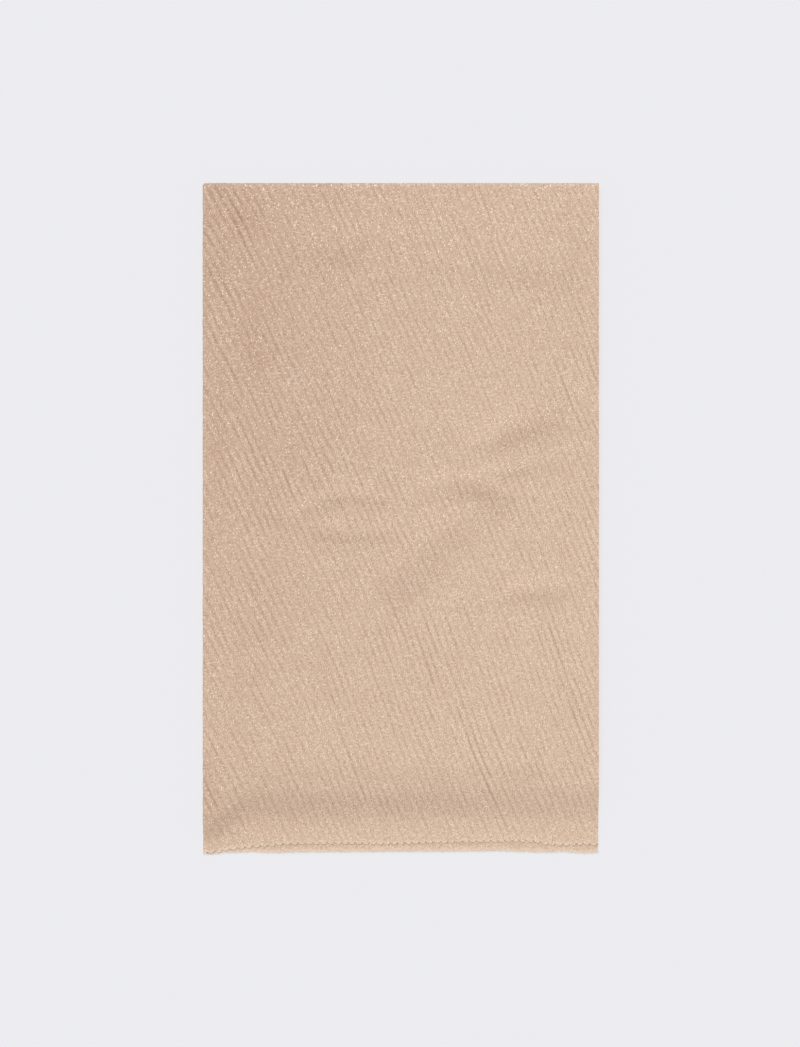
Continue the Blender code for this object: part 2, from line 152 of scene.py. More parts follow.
# Hem lines through the scallops' tips, in millimetres
UPPER_HEM = (  # x, y
    (-186.5, -316.8), (-173, -315.3), (-163, -313.6), (-153.5, -312.1), (-137.5, -310.5),
    (-126, -309.8), (-114, -308.3), (-95, -307.6), (-52, -307.3), (-12, -307.9),
    (11, -307.1), (36, -306.4), (74, -305.5), (118, -305.2), (128, -306.2),
    (141, -308.4), (156, -309.1), (171, -308), (186.5, -308.8),
)
LOWER_HEM = (
    (-186.5, -316.5), (-163, -314.9), (-140, -314.2), (-115, -315.1), (-98, -314.3),
    (-38, -314), (30, -313.7), (75, -313.6), (90, -313.2), (118, -313.9),
    (138, -314.6), (150, -313.8), (171, -315.5), (186.5, -314.7),
)

# Soft wrinkles of the upper ply, in millimetres: each a ridge between two places, bowed up between them
WRINKLES = (  # x0, y0, x1, y1, bow, height, width above, width below
    (-98, 3, -10, 16, 12, 1.6, 8, 8),
    (-100, -3, -6, -11, -8, 1.3, 14, 6),
    (66, 65, 148, 93, 5, 1.8, 16, 12),
    (64, 35, 142, 53, 3, 1, 8, 6),
    (24, 31, 110, 20, 8, 1.8, 9, 11),
    (-14, -64, 72, 10, 0, 1.9, 30, 27),
    (96, -72, 160, -65, 3, 1.3, 10, 9),
    (-92, 259, -32, 268, -6, 1, 14, 10),
    (30, 240, 160, 236, 3, 0.8, 20, 20),
    (30, -82, 66, -80, 0, 0.5, 5, 5),
)

# Valleys pressed into a crease for part of their length, in millimetres
CREASES = (  # x, y_top, y_bottom, depth
    (-5, -82, -100, 0.35),
    (19, -114, -160, 0.55),
    (26, -118, -156, 0.35),
    (61, -192, -285, 0.70),
    (68, -200, -240, 0.45),
    (-75.4, -115, -165, 0.35),
    (-55, -215, -262, 0.45),
    (140, -108, -200, 0.45),
    (148, -135, -215, 0.35),
    (150, 144, 99, 0.30),
    (-176, 310, 262, 0.60),
    (-168, 296, 240, 0.45),
    (-160, 300, 270, 0.40),
    (-184, 246, 200, 0.55),
    (-176, 236, 205, 0.45),
    (-180, 180, 140, 0.40),
    (-116.8, 56.5, 21.7, 0.30),
)

# Where the ribs are deeper than most, in millimetres
RIB_PATCHES = (  # x, y, half-length, half-width, turn in degrees, more depth
    (-172, 296, 34, 36, 0, 0.38),
    (-98, 38, 58, 78, 0, 0.20),
    (-136, 45, 26, 62, 0, 0.26),
    (-28, 20, 42, 50, 0, 0.08),
    (-150, -95, 44, 62, 0, 0.21),
    (176, -35, 32, 200, 0, 0.19),
    (28, -130, 28, 34, 0, 0.18),
    (30, -185, 60, 60, 0, 0.10),
    (100, -220, 70, 60, 0, 0.08),
    (0, -264, 210, 26, 0, 0.15),
    (-165, -272, 32, 34, 0, 0.30),
)

# Soft patches of painted shade and painted light on the upper ply, where its wrinkles and the step down to
# the hem look darker or lighter, in millimetres
LIGHT_AND_SHADE_PATCHES = (  # x, y, half-length, half-width, turn in degrees, tone
    (-152, 284, 36, 30, 0, -0.045),
    (-147, 281, 14, 10, 0, -0.070),
    (-172, 310, 12, 9, 0, -0.045),
    (-163, 238, 14, 24, 0, -0.035),
    (-183, 232, 8, 40, 0, -0.030),
    (-150, 168, 24, 8, 0, -0.025),
    (-163, 125, 14, 18, 0, -0.020),
    (-130, 180, 28, 58, 0, -0.035),
    (-135, 150, 9, 22, 15, -0.065),
    (-172, 72, 6, 76, 0, -0.035),
    (-62, 242, 24, 6.5, -6, -0.060),
    (-39, 250, 11, 5, 50, -0.055),
    (-52, 297, 16, 4.5, -25, -0.030),
    (-75, 262, 34, 12, 0, -0.020),
    (-45, 196, 26, 20, 0, -0.022),
    (104, 227, 52, 13, -4, -0.030),
    (162, 256, 13, 50, 0, -0.032),
    (52, 258, 14, 11, 0, -0.025),
    (51, 207, 22, 12, 0, 0.014),
    (-75, 78, 62, 44, 0, -0.030),
    (-80, 96, 26, 14, 0, -0.022),
    (-85, 136, 36, 10, 0, -0.022),
    (-130, 36, 20, 38, 0, -0.035),
    (-98, 42, 9, 12, 0, -0.030),
    (-119, -1, 11, 7, -15, -0.045),
    (-119, -26, 9, 26, 0, -0.022),
    (-85, 8, 12, 5, 35, -0.040),
    (-57, 18, 20, 6, 5, -0.055),
    (-24, 14, 17, 5, -14, -0.040),
    (10, 14, 22, 4, 3, -0.022),
    (-38, -11, 8, 6, -30, -0.035),
    (-50, -19, 36, 5, -2, -0.055),
    (27, -40, 56, 18, 40, -0.055),
    (-2, -74, 15, 16, 0, -0.040),
    (52, -66, 54, 14, 47, 0.025),
    (72, 22, 28, 8.5, -8, -0.095),
    (37, 17, 22, 4.5, 3, -0.040),
    (68, 47, 22, 3.5, 35, -0.035),
    (93, 6, 12, 9, -40, -0.055),
    (118, 79, 31, 12.5, 21, -0.080),
    (106, 41, 34, 4.5, 12, -0.055),
    (146, 122, 10, 22, 0, -0.024),
    (118, 164, 15, 13, 0, -0.028),
    (174, 83, 13, 9, 0, -0.045),
    (128, -76, 29, 6.5, 5, -0.060),
    (-135, -140, 28, 62, 0, -0.028),
    (-130, -72, 26, 30, 0, -0.018),
    (-87, -64, 11, 15, 0, -0.020),
    (-71, -140, 4, 26, 12, -0.022),
    (-32, -120, 16, 20, 0, -0.020),
    (22, -132, 6, 28, 16, -0.028),
    (80, -238, 6, 46, 16, -0.030),
    (158, -165, 6, 44, 20, -0.022),
    (-40, -228, 7, 18, 35, -0.020),
    (-180, -250, 11, 26, 0, -0.080),
    (-60, -268, 95, 10, 0, -0.030),
    (122, -244, 16, 9, 0, -0.030),
    (28, -252, 32, 8, 0, -0.018),
    (-85, -281, 62, 8, 0, -0.022),
    (165, -277, 11, 7, 0, -0.030),
    (20, -304, 178, 11, 0, 0.050),
)

# Sampling
ROW_STEP = 0.0038
ROLL_PARTS = 12
TURN_PARTS = 10
EDGE_COLUMNS = (0.0, 0.004, 0.008, 0.014)
HIDDEN_COLUMN = 0.030
HIDDEN_FIRST_COLUMNS = (0.004, 0.010)  # past the width fold
BACK_COLUMN, BACK_ROW = 0.012, 0.0075
BACK_START, BACK_END = 0.002, 0.004  # clear of the width fold and the selvedge
BACK_TURN_CLEAR = 0.001
FIXED_CLEAR, SELVEDGE_CLEAR = 0.0003, 0.0006  # of a row's fixed places
END_KEY = 1000.0  # past every rib number

# Stitches over the hems
STITCH_SPACING = 0.00075
STITCH_REACH = 0.00052
STITCH_HEIGHT = 0.00024
STITCH_INSET = 0.00030
FUZZ_SPACING = 0.00016
FUZZ_LENGTH = 0.0030
UPPER_FUZZ_LENGTH = 0.0004
FUZZ_RADIUS = 0.00009
STITCH_SLANT = 0.25
STITCH_UNEVENNESS = 0.15
THREAD_RADIUS = 0.00018
LOOP_POINTS = 8
EDGE_CORNERS, LOOP_CORNERS, HAIR_CORNERS = 5, 4, 3  # of each thread's section
STITCH_SEED, YAW_SEED, PITCH_SEED, LENGTH_SEED = 11, 21, 22, 23
HAIR_YAW, HAIR_PITCH, HAIR_SHARE = (-0.5, 0.3), (-1.0, 1.0), (0.25, 1.0)
TABLE_CLEAR = 0.00005

# Finish
# The deep colour gives the painted shade, as well as the darker stitches, its warm colour
DEEP_TONE, PALE_TONE = 0.55, 1.30  # of the two colours that the cloth lies between
DEEP_COLOUR = (0.406, 0.243, 0.168, 1.0)
PALE_COLOUR = (0.810, 0.619, 0.467, 1.0)
# The glints are painted highlights in the colour, over the metal thread's real shine
GLINT_COLOUR = (0.98, 0.86, 0.73, 1.0)
THREAD_COLOUR = (0.98, 0.86, 0.73)
VALLEY_SHADE = 0.25
GRAIN, GRAIN_CELL = 0.66, (0.0010, 0.0017)
STITCH_TONE, STITCH_CELL = 0.24, (0.00095, 0.00120)
SPECK_SHADE = 0.22
KNIT_ROW = 0.0033
KNIT_SLOPE = 0.09
ROW_TONE, ROW_BEND = 0.012, 0.7
MOTTLE_TONE, CLOUD_TONE, UNDER_RIB_SHADE = 0.05, 0.05, 0.014
BEND_SCALE, MOTTLE_SCALE, CLOUD_SCALE, PATCH_SCALE = (90, 90), (75, 75), (16, 16), (28, 34)
CORNER_SHADE, CORNER_FROM, CORNER_TO = 0.115, -0.02, 0.34
LOW_LIGHT, LIGHT_FROM, LIGHT_TO = 0.06, -0.12, 0.28
DASH_GLINT, DASH_CELL = 0.34, (0.0042, 0.0014)
DASHES_OUTSIDE = 0.35  # of the strength that they have where the ribs below press through
KNIT_DEPTH = 0.00006
THREAD_TWIST, THREAD_TWIST_DEPTH = 0.0004, 0.00005

# Light and floor
FLOOR_COLOUR = (0.12, 0.12, 0.124)
FLOOR_GLOW = (0.7193, 0.7193, 0.7468)
FLOOR_HALF, FLOOR_Z = 3.0, -0.0003
SKY_STRENGTH = 0.60
SUN_STRENGTH = 1.51
SUN_ANGLE = math.radians(35)
SUN_TILT = math.radians(34)
SUN_TURN = math.radians(114)

# The photograph's frame
METRES_PER_PIXEL = 0.942e-3
FRAME_WIDTH = 800 * METRES_PER_PIXEL
FRAME_CENTRE = (-0.94 * MM, -4.24 * MM)
CLOTH_TOP = 0.010
LENS = 100.0
SENSOR = 36.0


def smooth(share):
    """0 to 1 with level ends, as share goes from 0 to 1."""
    share = np.clip(share, 0.0, 1.0)
    return share * share * (3 - 2 * share)


def spaced(start, end, step):
    """Evenly spaced values from start to end, both included, no further apart than step."""
    return list(np.linspace(start, end, max(1, math.ceil(abs(end - start) / step - 1e-9)) + 1))


class Noise:
    """Smooth noise from -1 to 1, from one seed."""

    def __init__(self, seed):
        self.table = np.random.RandomState(seed).rand(256, 256) * 2 - 1

    def __call__(self, u, v):
        iu, iv = np.floor(u).astype(int), np.floor(v).astype(int)
        fu, fv = smooth(u - iu), smooth(v - iv)
        low = self.at(iu, iv) * (1 - fu) + self.at(iu + 1, iv) * fu
        high = self.at(iu, iv + 1) * (1 - fu) + self.at(iu + 1, iv + 1) * fu
        return low * (1 - fv) + high * fv

    def at(self, iu, iv):
        return self.table[iu % 256, iv % 256]


rib_breaks = Noise(3)
rib_flaws = Noise(4)
rib_wander = Noise(5)
crinkle = Noise(6)
edge_wander = Noise(7)


# ---------------------------------------------------------------- ribs


def reach_of(across):
    """The distance from the folded scarf's left side, for a place past the width fold."""
    return np.abs(across) - ROLL_END + ROLL_DEPTH


def rib_count(reach):
    return reach * (RIBS_PER_M_LEFT + RIB_SPREAD * reach)


def wander(reach, along):
    """How the ribs stray from their even lines, in ribs. They run steeper low down, away from the left."""
    steeper = smooth((STEEPER_START - along) / STEEPER_RUN)
    steeper = steeper * smooth((reach - STEEPER_SIDE) / STEEPER_SIDE_RUN)
    slow = SLOW_WANDER[0] * rib_wander(reach / SLOW_WANDER[1], along / SLOW_WANDER[2])
    quick = QUICK_WANDER[0] * rib_wander(reach / QUICK_WANDER[1] + 40, along / QUICK_WANDER[2])
    return steeper + smooth((along - HEM_BAND_END) / WANDER_RUN) * (slow + quick)


def rib_number(across, along):
    """The rib count at a place: whole in a valley, a half on a crest."""
    reach = reach_of(across)
    return np.sign(across) * rib_count(reach) + along / RIB_RISE + wander(reach, along)


def reach_at(numbers, side, along_of):
    """The reach at which rib lines cross a row, whose place along the cloth is a function of the reach."""
    reach = np.full(len(numbers), WIDTH / 2)
    for _ in range(14):
        along = along_of(reach)
        count = np.maximum(side * (numbers - along / RIB_RISE - wander(reach, along)), 0.0)
        reach = (np.sqrt(RIBS_PER_M_LEFT**2 + 4 * RIB_SPREAD * count) - RIBS_PER_M_LEFT) / (2 * RIB_SPREAD)
    return reach


def crest_of(number):
    """0 in a valley, which is narrow, and 1 on a crest, which is broad."""
    return np.abs(np.sin(np.pi * number)) ** VALLEY_SHARPNESS


def pressed(number, along):
    """How far a valley is pressed into a crease here, from 0 to 1."""
    most = np.zeros_like(along)
    for x, top, bottom, depth in CREASES:
        valley = np.round(rib_number(x * MM - LEFT + ROLL_END - ROLL_DEPTH, np.float64(top * MM)))
        ends = np.minimum(top * MM - along, along - bottom * MM)
        near = smooth(CREASE_REACH - 2 * np.abs(number - valley))
        most = np.maximum(most, depth * near * smooth(ends / CREASE_FADE + 1))
    return most


def patched(patches, reach, along):
    """The sum of soft patches here."""
    x = LEFT + reach
    total = np.zeros_like(x)
    for x0, y0, length, width, turn, amount in patches:
        dx, dy = x / MM - x0, along / MM - y0
        cosine, sine = math.cos(math.radians(turn)), math.sin(math.radians(turn))
        u, v = (dx * cosine + dy * sine) / length, (dy * cosine - dx * sine) / width
        total += amount * np.exp(-(u * u + v * v) ** PATCH_FALL)
    return total


def rib_depth(number, reach, along):
    """How deep the ribs are. Each comes and goes, and all flatten over the top turn and by the seen hems."""
    rib = np.floor(number + 0.5)
    broken = BREAK_MEAN + BREAK_SIZE * rib_breaks(rib * 7.31, along / BREAK_LENGTH + rib * 3.7)
    broken = broken + FLAW_SIZE * rib_flaws(rib * 5.17, along / FLAW_LENGTH)
    pulled = smooth((along - TURN_Y + PULLED_LEAD) / PULLED_RUN)
    pulled = pulled * smooth((TOP_END + PULLED_TAIL - along) / PULLED_TAIL)
    sewn = smooth((SEWN_START - along) / SEWN_RUN)
    usual = USUAL_DEPTH + patched(RIB_PATCHES, reach, along)
    depth = np.clip(broken, SHALLOWEST_BREAK, DEEPEST_BREAK) * usual
    return depth * (1 - PULLED_SHARE * pulled) * (1 - SEWN_SHARE * sewn)


def relief(across, along, deepest=DEEPEST):
    """How far the cloth's face stands out, and how much painted shade its rib gives it: less than nothing,
    which is painted light, on a crest.
    """
    number, reach = rib_number(across, along), reach_of(across)
    crest = crest_of(number)
    crease = np.where(across > 0, pressed(number, along), 0.0)
    depth = np.minimum(rib_depth(number, reach, along) + crease, deepest)
    fine = CRINKLE_HEIGHT * crinkle(reach / CRINKLE_SIZE[0], along / CRINKLE_SIZE[1])
    height = RIB_HEIGHT * (1 - (1 - crest) * depth) + CREASE_RAISE * crease * crest + fine
    return height, depth * (1 - crest - MEAN_VALLEY)


def painted_light_and_shade(across, along):
    """How much painted light or painted shade the soft patches put on the upper ply here."""
    return np.where(across > 0, patched(LIGHT_AND_SHADE_PATCHES, reach_of(across), along), 0.0)


# ---------------------------------------------------------------- how the cloth lies


def corner(x):
    """1 at the left side, and 0 from the end of the low corner on."""
    return 1 - smooth((x - LEFT) / CORNER_WIDTH)


def pile_end(x):
    """The y of the line at which the pile ends, low down."""
    return TURN_LINE - CORNER_DROP * corner(x) + RIGHT_RISE * smooth((x - LEFT) / WIDTH)


def puff(x, y):
    """The air in the pile, which goes to nothing at its edges."""
    sides = smooth((x - LEFT) / PUFF_EDGE) * smooth((RIGHT - x) / PUFF_EDGE)
    return PUFF * sides * smooth((TOP - y) / PUFF_EDGE) * smooth((y - pile_end(x)) / PUFF_DROP)


def pair_height(x, y):
    """The height of the middle of the two upper plies, on the pile or down on the table by their hems."""
    run = STEP_RUN - CORNER_RUN * corner(x) + RIGHT_RUN * smooth((x - LEFT) / WIDTH)
    on_pile = smooth((y - pile_end(x) + run) / (run + STEP_LEAD))
    return SLOT / 2 + PITCH / 2 + HIDDEN_PLIES * PITCH * on_pile + puff(x, y)


def hem_share(across, along):
    """0 where the upper ply lies loose, and 1 where its hem rests on the lower one."""
    share = smooth((reach_of(across) - HEM_SIDE) / HEM_SIDE_RUN) * smooth((HEM_FLAT - along) / HEM_RUN)
    return np.where(across > 0, share, 0.0)


def loft(across, along):
    """How far the upper ply lies loose over the lower one, wrinkles and all."""
    x = LEFT + reach_of(across)
    hem = hem_share(across, along)
    total = LOFT * smooth((x - LEFT) / LOFT_EDGE) * smooth((TOP - along) / LOFT_EDGE) * (1 - hem)
    for x0, y0, x1, y1, bow, height, above, below in WRINKLES:
        run_x, run_y = x1 - x0, y1 - y0
        length = math.hypot(run_x, run_y)
        dx, dy = x / MM - x0, along / MM - y0
        share = (dx * run_x + dy * run_y) / length**2
        off = (dy * run_x - dx * run_y) / length - 4 * bow * share * (1 - share)
        ends = smooth(share / WRINKLE_END + 0.5) * smooth((1 - share) / WRINKLE_END + 0.5)
        width = np.where(off > 0, above, below) * (NARROWED + (1 - NARROWED) * ends)
        total = total + height * MM * ends * np.exp(-(np.abs(off / width) ** WRINKLE_FALL))
    return np.where((across > ROLL_END) & (along < TURN_Y), total - HEM_SINK * hem, 0.0)


def fold_width(across, out):
    """Folds the cloth across its width: a point's place across, and its height from the pair's middle."""
    angle = np.clip(across / ROLL_RADIUS, -np.pi / 2, np.pi / 2)
    past = np.maximum(np.abs(across) - ROLL_END, 0.0)
    return LEFT + ROLL_DEPTH - (ROLL_RADIUS + out) * np.cos(angle) + past, (ROLL_RADIUS + out) * np.sin(angle)


def fold_length(x, along, rise):
    """Lays the pair up the pile, over its top turn, back down the middle, and round its bottom turn."""
    table_pair = SLOT / 2 + PITCH / 2
    low_turn = low_turn_y(x - LEFT)
    middle_run = TURN_Y - low_turn
    over = along - TURN_Y
    back = np.clip(over - TURN_LENGTH, 0.0, middle_run)
    under = over - TURN_LENGTH - middle_run
    angle = np.clip(over / PITCH, 0.0, np.pi)
    low_angle = np.clip(under / PITCH, 0.0, np.pi)
    y = TURN_Y + (PITCH + rise) * np.sin(angle) - back
    z = table_pair + (HIDDEN_PLIES - 1) * PITCH + (PITCH + rise) * np.cos(angle)
    z = z + MIDDLE_PUFF * puff(x, y) * smooth(back / MIDDLE_PUFF_RUN)
    y = np.where(under > 0, low_turn - (PITCH - rise) * np.sin(low_angle), y)
    y = y + np.maximum(under - TURN_LENGTH, 0.0)
    z = np.where(under > 0, table_pair + PITCH + (PITCH - rise) * np.cos(low_angle), z)
    return np.where(over > 0, y, along), np.where(over > 0, z, pair_height(x, along) + rise)


def folded(across, along, out, lift=0.0, shift=0.0):
    """Points of the flat cloth, in their folded places."""
    x, rise = fold_width(across, out)
    y, z = fold_length(x, along, rise)
    return np.stack([x + shift, y, z + lift], axis=1)


def low_turn_y(reach):
    """The y of the bottom turn's middle."""
    return pile_end(LEFT + reach) + LOW_TURN_LEAD


def low_turn_start(reach):
    """The distance along the cloth to where the bottom turn starts."""
    return TURN_Y + TURN_LENGTH + TURN_Y - low_turn_y(reach)


def third_panel(reach, y):
    """The distance along the cloth to a y on the third panel."""
    return low_turn_start(reach) + TURN_LENGTH + y - low_turn_y(reach)


# ---------------------------------------------------------------- surfaces


def hem_height(table, x):
    """The y of a hem line at x, both in metres."""
    xs, ys = np.array(table).T * MM
    i = np.clip(np.searchsorted(xs, x) - 1, 0, len(xs) - 2)
    return ys[i] + (ys[i + 1] - ys[i]) * smooth((x - xs[i]) / (xs[i + 1] - xs[i]))


def notch(number):
    """How far the hem goes in at a rib number."""
    return NOTCH_DEPTH * (1 - np.abs(np.sin(np.pi * number)))


class Surface:
    """Rows of places on the flat cloth. Each place has a key, by which neighbouring rows are joined."""

    def __init__(self):
        self.across, self.along, self.rows = [], [], []

    def add(self, across, along, keys):
        order = np.argsort(keys, kind="stable")
        self.rows.append((len(self.across), np.asarray(keys)[order]))
        self.across += list(np.asarray(across)[order])
        self.along += list(np.asarray(along)[order])

    def ribbed_row(self, fixed, side, along_of, shares=RIB_SHARES, notched=0.0):
        """A row that has places on each rib line, and fixed ones at the width fold and the selvedge."""
        numbers = np.array([whole + share for whole in RIB_RANGE for share in shares])

        def height(reach):
            return along_of(reach) + notched * notch(numbers)

        reach = reach_at(numbers, side, height)
        across = side * (reach - ROLL_DEPTH + ROLL_END)
        inner = np.max(np.abs([a for a in fixed if a * side >= 0])) + FIXED_CLEAR
        keep = (np.abs(across) > inner) & (np.abs(across) < SELVEDGE - SELVEDGE_CLEAR) & (reach > 0)
        ends = np.array(list(fixed) + [side * SELVEDGE])
        end_heights = along_of(reach_of(ends))
        end_heights = end_heights + notched * notch(rib_number(ends, end_heights))
        keys = [-END_KEY * side + END_KEY * a for a in fixed] + [END_KEY * side]
        self.add(
            np.concatenate([across[keep], ends]),
            np.concatenate([height(reach)[keep], end_heights]),
            np.concatenate([numbers[keep], keys]),
        )

    def plain_row(self, columns, along_of):
        """A row of fixed places."""
        self.add(columns, along_of(reach_of(columns)), columns)

    def panel_end_row(self, columns, notched):
        """A row near the third panel's end, which goes from selvedge to selvedge, with its scallops."""
        numbers = np.array([whole + share for whole in RIB_RANGE for share in HEM_SHARES])
        y = PANEL_END - END_BAND * (1 - notched)
        across, along = [columns], [third_panel(reach_of(columns), y)]
        along[0] = along[0] - notched * notch(rib_number(columns, along[0]))
        for side in (-1, 1):
            def height(reach):
                return third_panel(reach, y) - notched * notch(numbers)

            reach = reach_at(numbers, side, height)
            places = reach - ROLL_DEPTH + ROLL_END
            keep = (places > ROLL_END + FIXED_CLEAR) & (places < columns[-1] - SELVEDGE_CLEAR)
            across.append(side * places[keep])
            along.append(height(reach)[keep])
        across = np.concatenate(across)
        self.add(across, np.concatenate(along), across)

    def triangles(self):
        """Triangles between each row and the next, as lists of three places."""
        made = []
        for (start_a, a), (start_b, b) in zip(self.rows, self.rows[1:]):
            i, j = 0, 0
            while i < len(a) - 1 or j < len(b) - 1:
                if j == len(b) - 1 or (i < len(a) - 1 and a[i + 1] <= b[j + 1]):
                    made.append((start_a + i, start_a + i + 1, start_b + j))
                    i += 1
                else:
                    made.append((start_a + i, start_b + j + 1, start_b + j))
                    j += 1
        return made

    def spans(self):
        """Where each row starts and stops, among the places."""
        return [(start, start + len(keys)) for start, keys in self.rows]

    def outline(self):
        """The places round the surface's edge, in order."""
        spans = self.spans()
        right = [stop - 1 for _, stop in spans[1:-1]]
        left = [start for start, _ in spans[1:-1]]
        return list(range(*spans[0])) + right + list(range(*spans[-1]))[::-1] + left[::-1]


def plain_back(surface, columns, rows):
    """A wall's inner side: the same outline, with few places inside it."""
    ring = surface.outline()
    points = [(surface.across[i], surface.along[i]) for i in ring]
    inside = [(a, t) for a in columns for t in rows]
    made = delaunay_2d_cdt(points + inside, [], [list(range(len(ring)))], 0, 1e-7, True)
    at = {old: new for new, olds in enumerate(made[3]) for old in olds}
    triangles = [tuple(corners) for corners, source in zip(made[2], made[5]) if source]
    places = np.array([tuple(place) for place in made[0]])
    return places[:, 0], places[:, 1], triangles, ring, [at[i] for i in range(len(ring))]


def unmoved(across, along):
    return np.zeros(len(across))


def cloth_wall(
    name, surface, hem=1, inner=None, facing=1, deepest=1.0,
    sunk=unmoved, thinned=unmoved, lift=unmoved, shift=unmoved,
):
    """A closed wall of thin cloth, and lines through the middle of the cloth along its rows.

    Its other side is plain where the columns and rows inside it are given. The hem is at the first row,
    or at the last one where hem is -1. Facing is -1 where the ribbed side is on the inside of the fold.
    """
    across, along = np.array(surface.across), np.array(surface.along)
    height, valley = relief(across, along, deepest)
    level_out = thinned(across, along) - SLOT / 2
    face_out = np.maximum(SLOT / 2 - sunk(across, along) + height, level_out + THINNEST)
    rim_out = np.maximum(face_out - CLOTH, level_out)

    def place(a, t, out):
        points = folded(a, t, facing * out, lift(a, t), shift(a, t))
        points[:, 2] = np.maximum(points[:, 2], 0.0)
        return points

    if inner is None:
        ring = back_ring = surface.outline()
        back_across, back_along, back_triangles, back_out = across, along, surface.triangles(), rim_out
    else:
        back_across, back_along, back_triangles, ring, back_ring = plain_back(surface, *inner)
        back_out = thinned(back_across, back_along) - SLOT / 2
        back_out[back_ring] = rim_out[ring]
    points = np.concatenate([place(across, along, face_out), place(back_across, back_along, back_out)])
    first = len(across)
    rim = [first + i for i in back_ring]
    faces = surface.triangles() + [(first + c, first + b, first + a) for a, b, c in back_triangles]
    faces += [(ring[i], ring[i - 1], rim[i - 1], rim[i]) for i in range(len(ring))]
    if facing < 0:
        faces = [tuple(reversed(corners)) for corners in faces]
    flat = np.concatenate([np.stack([across, along], 1), np.stack([back_across, back_along], 1)])
    valleys = np.concatenate([valley, relief(back_across, back_along)[1]])
    # The soft patches' painted light and shade, and below, the painted highlight by the hem
    tones = np.concatenate([painted_light_and_shade(across, along), painted_light_and_shade(back_across, back_along)])
    # Painted highlight on the rows nearest the hem, where its rim catches the light
    for (start, stop), highlight in zip(surface.spans()[::hem], HEM_HIGHLIGHT):
        tones[start:stop] += highlight
    middles = place(across, along, face_out - CLOTH / 2)
    made = cloth_object(name, points, faces, flat, {"valley": valleys, "tone": tones})
    return made, [middles[start:stop] for start, stop in surface.spans()]


def cloth_object(name, points, faces, flat, shades):
    """An object with the flat cloth's places as its UV map, in metres, and its shades as attributes."""
    data = bpy.data.meshes.new(name)
    data.from_pydata(points.tolist(), [], faces)
    data.shade_smooth()
    data.set_sharp_from_angle(angle=CUT_ANGLE)
    loops = np.zeros(len(data.loops), np.int32)
    data.loops.foreach_get("vertex_index", loops)
    data.uv_layers.new(name="cloth").data.foreach_set("uv", flat[loops].astype(np.float32).ravel())
    for shade, values in shades.items():
        data.attributes.new(shade, "FLOAT", "POINT").data.foreach_set("value", values.astype(np.float32))
    data.update()
    made = bpy.data.objects.new(name, data)
    bpy.context.scene.collection.objects.link(made)
    return made


def hem_rows(surface, fixed, side, table, shares=RIB_SHARES, depth=1.0):
    """Rows from a scalloped hem up to where the scallops have run out."""
    for up in HEM_STEPS:
        surface.ribbed_row(
            fixed,
            side,
            lambda reach: hem_height(table, LEFT + reach) * (1 - up) + HEM_BAND_END * up,
            shares,
            notched=depth * (1 - up),
        )


def level(along):
    return lambda reach: np.full(np.shape(reach), along)


def build_upper_cloth():
    """The ply that shows, with the width fold and the top turn."""
    roll = spaced(-(ROLL_END + LEG), ROLL_END, 2 * ROLL_END / ROLL_PARTS)
    turn = spaced(TURN_Y, TURN_Y + TURN_LENGTH, TURN_LENGTH / TURN_PARTS)[1:]
    surface = Surface()
    hem_rows(surface, roll, 1, UPPER_HEM)
    for along in spaced(HEM_BAND_END, TURN_Y, ROW_STEP) + turn + [TOP_END]:
        surface.ribbed_row(roll, 1, level(along))
    columns = roll[1:-1] + spaced(ROLL_END + BACK_START, SELVEDGE - BACK_END, BACK_COLUMN)
    rows = spaced(HEM_BAND_END, TURN_Y - BACK_TURN_CLEAR, BACK_ROW) + turn
    return cloth_wall(
        "upper_cloth",
        surface,
        inner=(columns, rows),
        deepest=DEEPEST,
        sunk=lambda across, along: RIB_HEIGHT * smooth(-across / ROLL_END),
        thinned=lambda across, along: HEM_THINNING * hem_share(across, along),
        lift=loft,
    )


def build_lower_cloth():
    """The ply under it, of which only the hem and the selvedge show."""
    start = -(ROLL_END + LEG + SEAM)
    turn = spaced(TURN_Y, TURN_Y + TURN_LENGTH, TURN_LENGTH / TURN_PARTS)[1:]
    surface = Surface()
    hem_rows(surface, [start], -1, LOWER_HEM, HEM_SHARES, LOWER_NOTCH_SHARE)
    for along in spaced(HEM_BAND_END, TURN_Y, ROW_STEP) + turn + [TOP_END]:
        surface.ribbed_row([start], -1, level(along), COVERED_SHARES)
    columns = spaced(-(SELVEDGE - BACK_END), start - BACK_START, BACK_COLUMN)
    rows = spaced(HEM_BAND_END, TURN_Y - BACK_TURN_CLEAR, BACK_ROW) + turn
    return cloth_wall("lower_cloth", surface, inner=(columns, rows), facing=-1, sunk=ribs_inside)


def ribs_inside(across, along):
    """Keeps a ply's ribs within its slot."""
    return np.full(len(across), RIB_HEIGHT)


def uneven(across, along):
    """How far the hidden panels lie in from the upper one's side, which changes up the scarf."""
    return HIDDEN_INSET + HIDDEN_UNEVENNESS * edge_wander(along / HIDDEN_WAVE, np.zeros_like(along))


